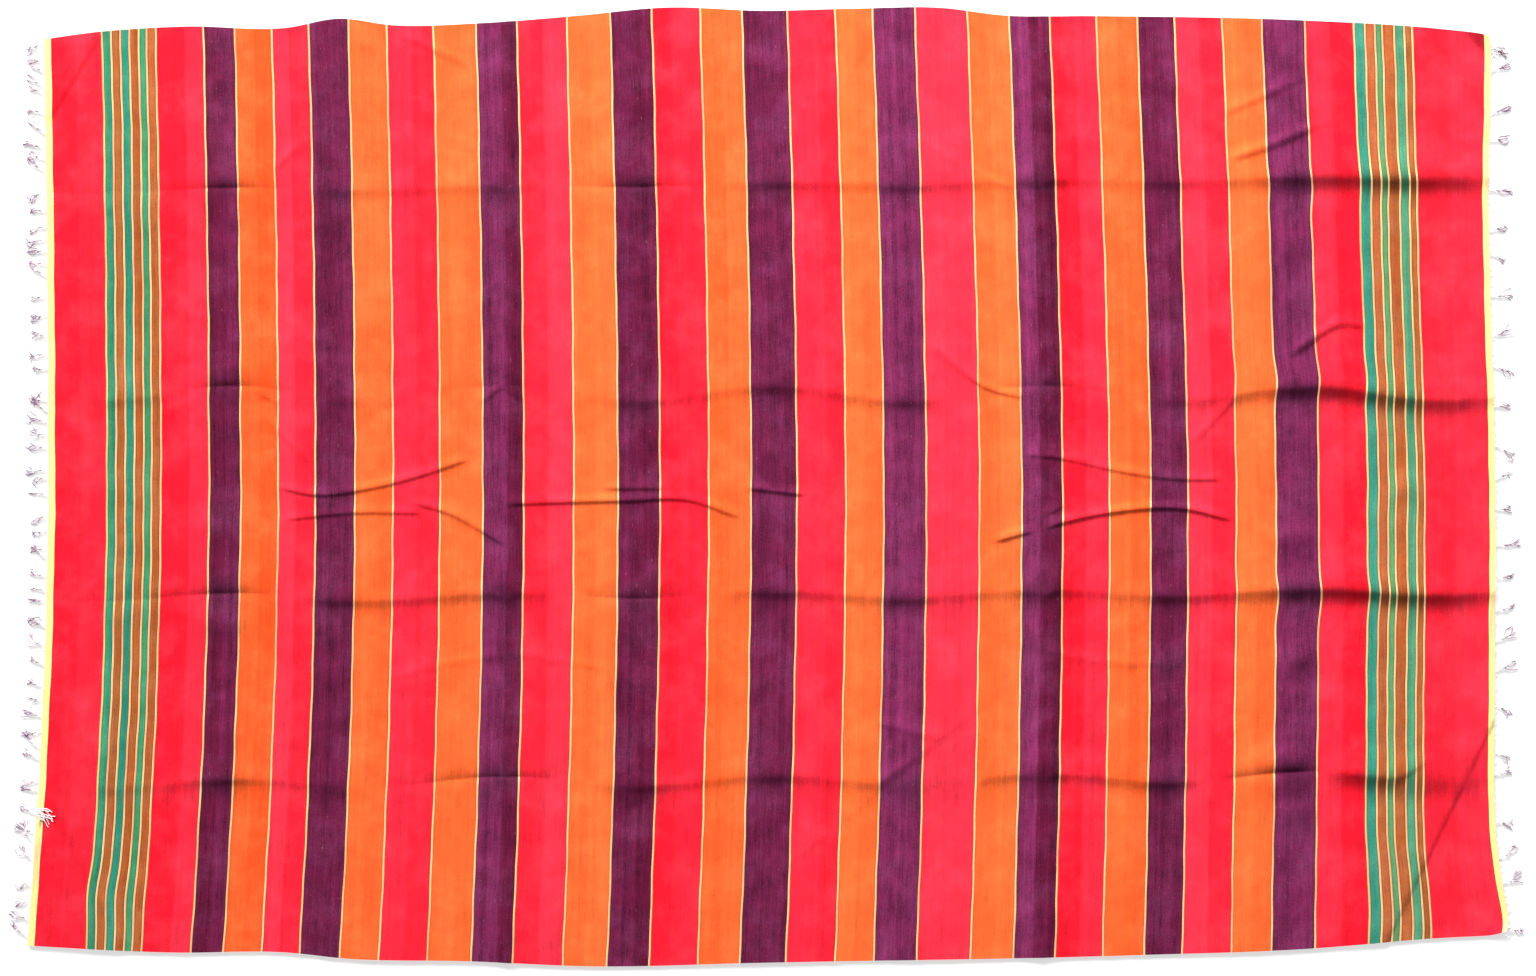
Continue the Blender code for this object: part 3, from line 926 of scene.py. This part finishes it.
WEFTS = {}
for kind, lots in LOTS_OF.items():
    for count, pair in enumerate(lots.split(), 1):
        stripe = kind if "end" in kind else f"{kind}_{count}"
        yarn = yarn_of(stripe)
        names = pair.split("-")
        WEFTS[stripe] = make_weft(
            f"handspun_cotton_{stripe}", (DYE_LOTS[names[0]], DYE_LOTS[names[-1]]),
            FADED_HEX[yarn], EDGE_HEX[yarn], STREAKS[yarn],
            LOT_CHANGES.get(stripe, 0.5), SLUBS.get(yarn, 0.0),
        )
print(len(WEFTS), "dyed yarns")

# %% [markdown]
# The pin lines and the headers at both ends are woven from an undyed yarn that has
# yellowed. It is a little redder where dye from the band beside it has run into it.

# %% The undyed yarn


def make_undyed(name, pale_hex, stained_hex, stain_from):
    """Undyed cotton, with stains of run dye along its length."""
    material, tree, shader = start_material(name, 0.88, 0.12)
    cloth = add_node(tree, "UVMap", uv_map="Cloth")
    stain_noise = stretched_noise(tree, cloth, (60.0, 7.0), 3.0)
    stained = add_node(tree, "MapRange", {
        "Value": stain_noise, "From Min": stain_from, "From Max": stain_from + 0.25,
    })
    fibre_noise = stretched_noise(tree, cloth, (900.0, 140.0), 2.0)
    fibre = add_node(tree, "MapRange", {
        "Value": fibre_noise, "From Min": 0.3, "From Max": 0.7, "To Min": 0.86, "To Max": 1.08,
    })
    stained_yarn = add_node(tree, "Mix", {
        "Factor": stained, 6: dyed(pale_hex), 7: dyed(stained_hex),
    }, data_type="RGBA")
    shaded = add_node(tree, "VectorMath", {
        0: stained_yarn.outputs[2], "Scale": fibre,
    }, operation="SCALE")
    tree.links.new(shaded.outputs["Vector"], shader.inputs["Base Color"])
    add_weave(tree, cloth, shader, 0.5)
    return material


PIN_LINE = make_undyed("undyed_cotton_pin_line", "F8E3A0", "F0C088", 0.42)
HEADER = make_undyed("undyed_cotton_header", "FFF2B0", "FBE3AE", 0.52)
print("undyed yarns:", PIN_LINE.name, HEADER.name)

# %% [markdown]
# ## Weaving the bands
# A pin line of four cream picks lies between every two stripes, except beside the
# headers. The bands are cut so that the pin lines fill the gaps between them. The two
# purple bands that fold are cut finer. The red ends and the headers are cut in a north and
# a south half, one for each corner.

# %% Cut every stripe
PIN_WIDTH = 0.0030
PIN_EDGES = EDGES[2:-2]


def cloth_limits(index):
    """A stripe's edges, less half a pin line where it has one."""
    west, east = EDGES[index], EDGES[index + 1]
    west += PIN_WIDTH / 2 if west in PIN_EDGES else 0
    east -= PIN_WIDTH / 2 if east in PIN_EDGES else 0
    return west, east


woven = {}
for index, (stripe, nodes, _, _) in enumerate(STRIPES):
    west, east = cloth_limits(index)
    if stripe.startswith(("red_end", "header")):
        fine = max(3, math.ceil((east - west) / 0.003))
        for half, rows in (("south", ROW_SHARES[:MIDDLE_ROW + 1]),
                           ("north", ROW_SHARES[MIDDLE_ROW:])):
            piece = make_strip(f"woven_{stripe}_{half}", west, east, rows, columns=fine)
            woven[f"{stripe}_{half}"] = (piece, stripe, nodes)
        continue
    columns = 42 if stripe in FOLDED_BANDS else None
    piece = make_strip(f"woven_{stripe}", west, east, columns=columns)
    woven[stripe] = (piece, stripe, nodes)

for piece, stripe, _ in woven.values():
    piece.data.materials.append(WEFTS.get(stripe, HEADER))
print(len(woven), "pieces of cloth")

# %% [markdown]
# The pin lines are as thick as the cloth and stand a hair proud of it, because four
# picks of the softer undyed yarn bulge. They are joined into four pieces, one for each
# stretch of cloth that moves as one.

# %% Lay the pin lines
PIN_CROWN = 0.0002


def weave_pin_lines(name, edges):
    lines = [
        make_strip(f"{name}_{count}", edge - PIN_WIDTH / 2, edge + PIN_WIDTH / 2,
                   crown=PIN_CROWN, columns=3)
        for count, edge in enumerate(edges)
    ]
    joined = join_pieces(lines)
    joined.name = name
    joined.data.name = name
    joined.data.materials.append(PIN_LINE)
    return joined


MIDDLE = (FOLDS["west"] + FOLDS["east"]) / 2
NEAR_FOLD = 0.05
pin_groups = {
    "west": [e for e in PIN_EDGES if e < FOLDS["west"] - NEAR_FOLD],
    "west_fold": [e for e in PIN_EDGES if FOLDS["west"] - NEAR_FOLD <= e < MIDDLE],
    "east_fold": [e for e in PIN_EDGES if MIDDLE <= e <= FOLDS["east"] + NEAR_FOLD],
    "east": [e for e in PIN_EDGES if e > FOLDS["east"] + NEAR_FOLD],
}
pin_lines = {
    group: weave_pin_lines(f"pin_lines_{group}", edges)
    for group, edges in pin_groups.items()
}
print({group: len(edges) for group, edges in pin_groups.items()})


# %% [markdown]
# ## The fringe
# The cotton warp ends come out of the headers and are knotted in small bunches. Each
# bunch is four warp threads that run together, a knot, and a tail. A thread is a curve
# with a round bevel, turned into a mesh. Nothing is below the floor, so each path is kept
# at least a thread's radius above it.

# %% Threads as beveled curves
THREAD_RADIUS = 0.0006


def make_threads(name, paths, radius):
    curve = bpy.data.curves.new(name, "CURVE")
    curve.dimensions = "3D"
    curve.bevel_depth = radius
    curve.bevel_resolution = 1
    curve.use_fill_caps = True
    for path in paths:
        spline = curve.splines.new("POLY")
        spline.points.add(len(path) - 1)
        rows = np.column_stack((path, np.ones(len(path))))
        spline.points.foreach_set("co", rows.ravel())
    threads = bpy.data.objects.new(name, curve)
    bpy.context.collection.objects.link(threads)
    make_active(threads)
    bpy.ops.object.convert(target="MESH")
    threads = bpy.context.object
    threads.name = name
    threads.data.name = name
    bpy.ops.object.shade_smooth()
    return threads


def soft_path(start, end, sag, waver, steps=9):
    """A thread from start to end that bows sideways by sag and wavers a little."""
    start = np.asarray(start, float)
    end = np.asarray(end, float)
    t = np.linspace(0, 1, steps)[:, None]
    path = start + (end - start) * (t * t * (3 - 2 * t) * 0.3 + t * 0.7)
    across = np.array([-(end - start)[1], (end - start)[0], 0.0])
    across = across / max(np.linalg.norm(across), 1e-6)
    bow = sag * np.sin(math.pi * t) + waver * np.sin(2.6 * math.pi * t)
    return path + bow * across


# %% [markdown]
# The knot is a tight winding of two and a half turns round the bunch. The tails fan out
# from it in a direction of their own, because nobody combs a rug's fringe.

# %% One tassel
KNOT_WINDING = 0.0016


def tassel_paths(rng, x, y, z, outward):
    """Threads, knot and tails of one tassel that leaves the header at (x, y, z)."""
    aim = rng.normal(0, 0.45)
    reach = rng.uniform(0.011, 0.017)
    knot = np.array([x + outward * reach, y + reach * 0.8 * aim, 0.0023])
    paths = []
    for offset in (-0.0042, -0.0014, 0.0014, 0.0042):
        paths.append(soft_path((x - outward * 0.002, y + offset, z), knot,
                               rng.normal(0, 0.0008), rng.normal(0, 0.0004)))
    direction = np.array([outward * math.cos(aim), math.sin(aim), 0.0])
    side = np.array([-direction[1], direction[0], 0.0])
    t = np.linspace(0, 1, 16)
    angle = 2 * math.pi * 2.5 * t
    winding = (
        knot
        + np.outer((t - 0.5) * 0.0036, direction)
        + np.outer(KNOT_WINDING * np.cos(angle), side)
        + np.outer(KNOT_WINDING * np.sin(angle), (0, 0, 1))
    )
    paths.append(winding)
    length = rng.uniform(0.014, 0.028)
    for _ in range(5):
        turn = aim + rng.normal(0, 0.30)
        tip = knot + length * rng.uniform(0.7, 1.0) * np.array(
            [outward * math.cos(turn), math.sin(turn), 0.0]
        )
        tip[2] = THREAD_RADIUS + rng.uniform(0.0, 0.0006)
        paths.append(soft_path(knot, tip, rng.normal(0, 0.002), rng.normal(0, 0.0012)))
    return paths


# %% [markdown]
# Two tufts have no knot: a thick one at the north-east tip, and one that has fallen over
# the western header and lies flat on the red cloth.

# %% One loose tuft


def tuft_paths(rng, start, way, bed):
    """Loose threads that fan out from a start and lie flat on a bed of a given height."""
    paths = []
    for _ in range(14):
        turn = rng.normal(-0.5, 0.45)
        length = rng.uniform(0.018, 0.034)
        tip = np.array([start[0] + way * length * math.cos(turn),
                        start[1] + length * math.sin(turn),
                        bed + THREAD_RADIUS + rng.uniform(0, 0.0006)])
        root = np.array([start[0], start[1] + rng.normal(0, 0.003), start[2]])
        paths.append(soft_path(root, tip, rng.normal(0, 0.003), rng.normal(0, 0.001)))
    return paths


# %% [markdown]
# The tassels stand about 25 mm apart at the west end and 57 mm at the east end. Between
# them short broken ends stick out of the header.

# %% Place the tassels
ENDS = {"west": (WEST_END, -1), "east": (EAST_END, 1)}
TASSEL_SPACING = {"west": 0.025, "east": 0.057}


def header_point(end, y):
    """The outer edge of a header at a distance across the rug."""
    along, _ = ENDS[end]
    half = float(edge_distance(np.array([along]), y > 0)[0])
    x, y, z = cloth_point(np.array([along]), np.array([y / half]))
    return float(x[0]), float(y[0]), float(z[0]) + CLOTH_THICKNESS / 2


def fringe_paths(end, low, high, seed):
    rng = np.random.default_rng(seed)
    outward = ENDS[end][1]
    spacing = TASSEL_SPACING[end]
    paths = []
    y = low + 0.3 * spacing
    while y < high - 0.2 * spacing:
        paths += tassel_paths(rng, *header_point(end, y), outward)
        y += spacing * rng.uniform(0.6, 1.4)
    stubs = []
    y = low + 0.004
    while y < high - 0.003:
        x, y_here, z = header_point(end, y)
        start = (x - outward * 0.001, y_here, z)
        out = (x + outward * rng.uniform(0.002, 0.007), y_here + rng.normal(0, 0.003),
               max(0.0006, z - rng.uniform(0, 0.001)))
        stubs.append(soft_path(start, out, rng.normal(0, 0.0006), 0.0003, steps=5))
        y += rng.uniform(0.005, 0.013)
    return paths, stubs


HALF_FRINGE = 0.742
FRINGE_RANGES = {}
for end in ENDS:
    north = corner_crease("n" + end[0])[0][1]
    south = corner_crease("s" + end[0])[0][1]
    FRINGE_RANGES[f"fringe_corner_n{end[0]}"] = (end, north + 0.006, HALF_FRINGE)
    FRINGE_RANGES[f"fringe_{end}"] = (end, south + 0.002, north - 0.002)
    FRINGE_RANGES[f"fringe_corner_s{end[0]}"] = (end, -HALF_FRINGE, south - 0.006)
# a tuft's end, its distance across, which way it lies and the height of its bed
TUFTS = {
    "fringe_corner_ne": ("east", 0.722, 1, 0.0),
    "fringe_corner_sw": ("west", -0.527, 1, 0.0042),
}
fringes = {}
for seed, (name, (end, low, high)) in enumerate(FRINGE_RANGES.items()):
    paths, stubs = fringe_paths(end, low, high, 11 + seed)
    if name in TUFTS:
        tuft_end, across, way, bed = TUFTS[name]
        x, y, z = header_point(tuft_end, across)
        paths += tuft_paths(np.random.default_rng(5), (x, y, max(z, bed + 0.0008)), way, bed)
    threads = make_threads(name, paths, THREAD_RADIUS)
    frayed = make_threads(f"{name}_stubs", stubs, 0.00045)
    fringes[name] = join_pieces([threads, frayed])
print({name: len(piece.data.vertices) for name, piece in fringes.items()})

# %% [markdown]
# The fringe is pale cotton. Its knots and tails are painted a darker mauve grey, in patches
# and more so further from the header: painted shade, for the shade among the bunched threads.
# An attribute tells the material how far each point is from the header.

# %% The fringe yarn


def make_fringe_yarn():
    material, tree, shader = start_material("greyed_cotton_fringe", 0.9, 0.1)
    place = add_node(tree, "TexCoord")
    tail = add_node(tree, "Attribute", attribute_name="Tail")
    bunches = add_node(tree, "TexNoise", {
        "Vector": place.outputs["Object"], "Scale": 70.0, "Detail": 2.0,
    })
    # painted shade: darker mauve grey in the knots and tails, growing away from the header
    painted_tail_shade = add_node(tree, "Math", {0: bunches, 1: tail.outputs["Fac"]}, operation="MULTIPLY")
    painted_grey_share = add_node(tree, "MapRange", {"Value": painted_tail_shade, "From Min": 0.14, "From Max": 0.46})
    colour = add_node(tree, "Mix", {
        "Factor": painted_grey_share, 6: linear("FAEEF1"), 7: linear("84607C"),
    }, data_type="RGBA")
    fibre = add_node(tree, "TexNoise", {
        "Vector": place.outputs["Object"], "Scale": 1400.0, "Detail": 2.0,
    })
    fuzz = add_node(tree, "Bump", {"Height": fibre, "Strength": 0.5, "Distance": 0.0003})
    tree.links.new(colour.outputs[2], shader.inputs["Base Color"])
    tree.links.new(fuzz.outputs["Normal"], shader.inputs["Normal"])
    return material


FRINGE_YARN = make_fringe_yarn()


def mark_tails(piece, end):
    """Writes how far each point lies from the header, 0 at it and 1 at 30 mm."""
    points = points_of(piece.data)
    header_x = np.array([header_point(end, y)[0] for y in np.linspace(-0.74, 0.74, 61)])
    edge = np.interp(points[:, 1], np.linspace(-0.74, 0.74, 61), header_x)
    away = np.clip((points[:, 0] - edge) * ENDS[end][1] / 0.030, 0, 1)
    tail = piece.data.attributes.new("Tail", "FLOAT", "POINT")
    tail.data.foreach_set("value", away.astype(np.float32))


for name, piece in fringes.items():
    mark_tails(piece, FRINGE_RANGES[name][0])
    piece.data.materials.clear()
    piece.data.materials.append(FRINGE_YARN)
print("fringe yarn:", FRINGE_YARN.name)

# %% [markdown]
# ## Motion
# The rug folds in thirds and its corners turn over. A stripe away from every fold simply
# rides on its third. Where a fold crosses a piece, the length that would bend is worked out
# as half a circle round the hinge line, at the height of the middle of the cloth; such a
# piece only has its placing applied to its mesh, and is hung on nothing.

# %% The hinges
JOINTS = {joint["name"]: joint for joint in frame["joints"]}


def bend_ends(joint_name):
    """Where the bending starts, on the parent's side, and ends, on the child's."""
    joint = JOINTS[joint_name]
    x, y, z = joint["pos_m"]
    axis_x, axis_y, _ = joint["axis"]
    length = math.pi * (z - CLOTH_THICKNESS / 2)
    inward = np.array([-axis_y, axis_x, 0.0])
    inward = inward * (1 if inward @ np.array([-x, -y, 0.0]) > 0 else -1)
    middle = np.array([x, y, z])
    start = middle + inward * length / 2
    end = middle - inward * length / 2
    return tuple(start), tuple(end)


def bend_over(piece):
    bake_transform(piece)


print({name: bend_ends(name) for name in JOINTS})

# %% [markdown]
# Because the stripes lean, the first four stripes at the west end reach across the
# south-west corner's crease as well. The south-east corner is the largest, and its crease
# crosses all six of the stripes beside the red end.

# %% Hang the pieces that no fold crosses on the frame
CROSSED = {
    "fold_west": "purple_band_3 red_band_4",
    "fold_east": "purple_band_7 red_band_8",
    "turn_over_nw": "red_end_west_north header_west_north",
    "turn_over_sw": "red_end_west_south header_west_south green_stripe_1 "
                    "brown_stripe_1 green_stripe_2 brown_stripe_2",
    "turn_over_ne": "red_end_east_north header_east_north",
    "turn_over_se": "red_end_east_south header_east_south green_stripe_4 "
                    "brown_stripe_4 green_stripe_5 brown_stripe_5 green_stripe_6 "
                    "brown_stripe_6",
}
BENDS = {piece: joint for joint, pieces in CROSSED.items() for piece in pieces.split()}
CORNER_NODES = {
    f"red_end_{end}_{half}": f"corner_weft_{half[0]}{end[0]}"
    for end in ENDS for half in ("north", "south")
}


for key, (piece, stripe, nodes) in woven.items():
    if key in BENDS:
        bend_over(piece)
    else:
        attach(piece, frame["nodes"][nodes[0]]["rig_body"])
    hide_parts(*nodes)
    if key in CORNER_NODES:
        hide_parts(CORNER_NODES[key])

PIN_LINE_JOINTS = {"west": "turn_over_sw", "west_fold": "fold_west",
                   "east_fold": "fold_east", "east": "turn_over_se"}
for group, joint in PIN_LINE_JOINTS.items():
    bend_over(pin_lines[group])

for name, piece in fringes.items():
    place = name.removeprefix("fringe_")
    corner = place.startswith("corner")
    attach(piece, place if corner else f"{place}_third")
    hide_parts(place.replace("corner", "corner_warp") if corner else f"warp_{place}")
# the warp of the middle third is hidden inside the cloth, which stands for it
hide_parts("warp_middle")
print(len(BENDS) + len(pin_lines), "pieces bend")

# %% [markdown]
# For every piece of cloth, its width across the rug is worked out as it is when pulled
# flat, and halved for a piece that is only the north or south half of an end. A sheet's
# size can't be below 10 mm, so the narrowest stripes and the eastern header are declared
# a little longer than they are.

for key, (piece, stripe, _) in woven.items():
    index = [entry[0] for entry in STRIPES].index(stripe)
    west, east = cloth_limits(index)
    middle = np.array([(west + east) / 2])
    across = float(edge_distance(middle, True)[0] + edge_distance(middle, False)[0])
    if key != stripe:
        across = across / 2
print(len(woven), "sheets")

# %% [markdown]
# ## Floor, light and camera
# The rug lies on a plain pale floor that glows a little, as a lit studio table does, so
# that shadows stay faint. A low soft sun and a long lamp both stand in the north, so that
# ridges and valleys show and the north side is brighter, and an even pale surround fills
# the shadows.

# %% Floor
FLOOR_SIZE = 30
deselect_all()
bpy.ops.mesh.primitive_plane_add(size=FLOOR_SIZE, location=(0, 0, 0))
floor = bpy.context.object
floor.name = "floor"
FLOOR_PAINT, _, table_shader = start_material("matt_white_lit_table", 1.0, 0.5)
table_shader.inputs["Base Color"].default_value = linear("C8C8C8")
table_shader.inputs["Emission Color"].default_value = linear("FFFFFF")
table_shader.inputs["Emission Strength"].default_value = 0.55
floor.data.materials.append(FLOOR_PAINT)

# %% Light
SUN_HEIGHT_DEG = 14
SUN_WEST_OF_NORTH_DEG = 30
SUN_SOFTNESS_DEG = 14
SUN_STRENGTH = 7.6
LAMP_WATTS = 310
SURROUND = 0.26
LAMP_PLACE = (0, 4.2, 1.8)
deselect_all()
bpy.ops.object.light_add(type="SUN", rotation=(
    math.radians(SUN_HEIGHT_DEG - 90), 0, math.radians(SUN_WEST_OF_NORTH_DEG)
))
low_sun = bpy.context.object
low_sun.name = "low_north_sun"
low_sun.data.energy = SUN_STRENGTH
low_sun.data.angle = math.radians(SUN_SOFTNESS_DEG)
deselect_all()
bpy.ops.object.light_add(type="AREA", location=LAMP_PLACE, rotation=(
    -math.atan2(LAMP_PLACE[1], LAMP_PLACE[2]), 0, 0
))
long_lamp = bpy.context.object
long_lamp.name = "long_north_lamp"
long_lamp.data.shape = "RECTANGLE"
long_lamp.data.size = 3.5
long_lamp.data.size_y = 1.5
long_lamp.data.energy = LAMP_WATTS
long_lamp.visible_camera = False
studio = bpy.data.worlds.new("pale_studio")
studio.use_nodes = True
studio.node_tree.nodes["Background"].inputs["Color"].default_value = (1, 1, 1, 1)
studio.node_tree.nodes["Background"].inputs["Strength"].default_value = SURROUND
bpy.context.scene.world = studio
bpy.context.scene.view_settings.view_transform = "Standard"

# %% Camera
CAMERA_HEIGHT = 3.494
bpy.ops.object.camera_add(location=(-0.0065, 0, CAMERA_HEIGHT), rotation=(0, 0, 0))
camera = bpy.context.object
camera.name = "overhead_camera"
camera.data.lens = 50
camera.data.sensor_width = 36
bpy.context.scene.camera = camera
print("camera at", list(camera.location))
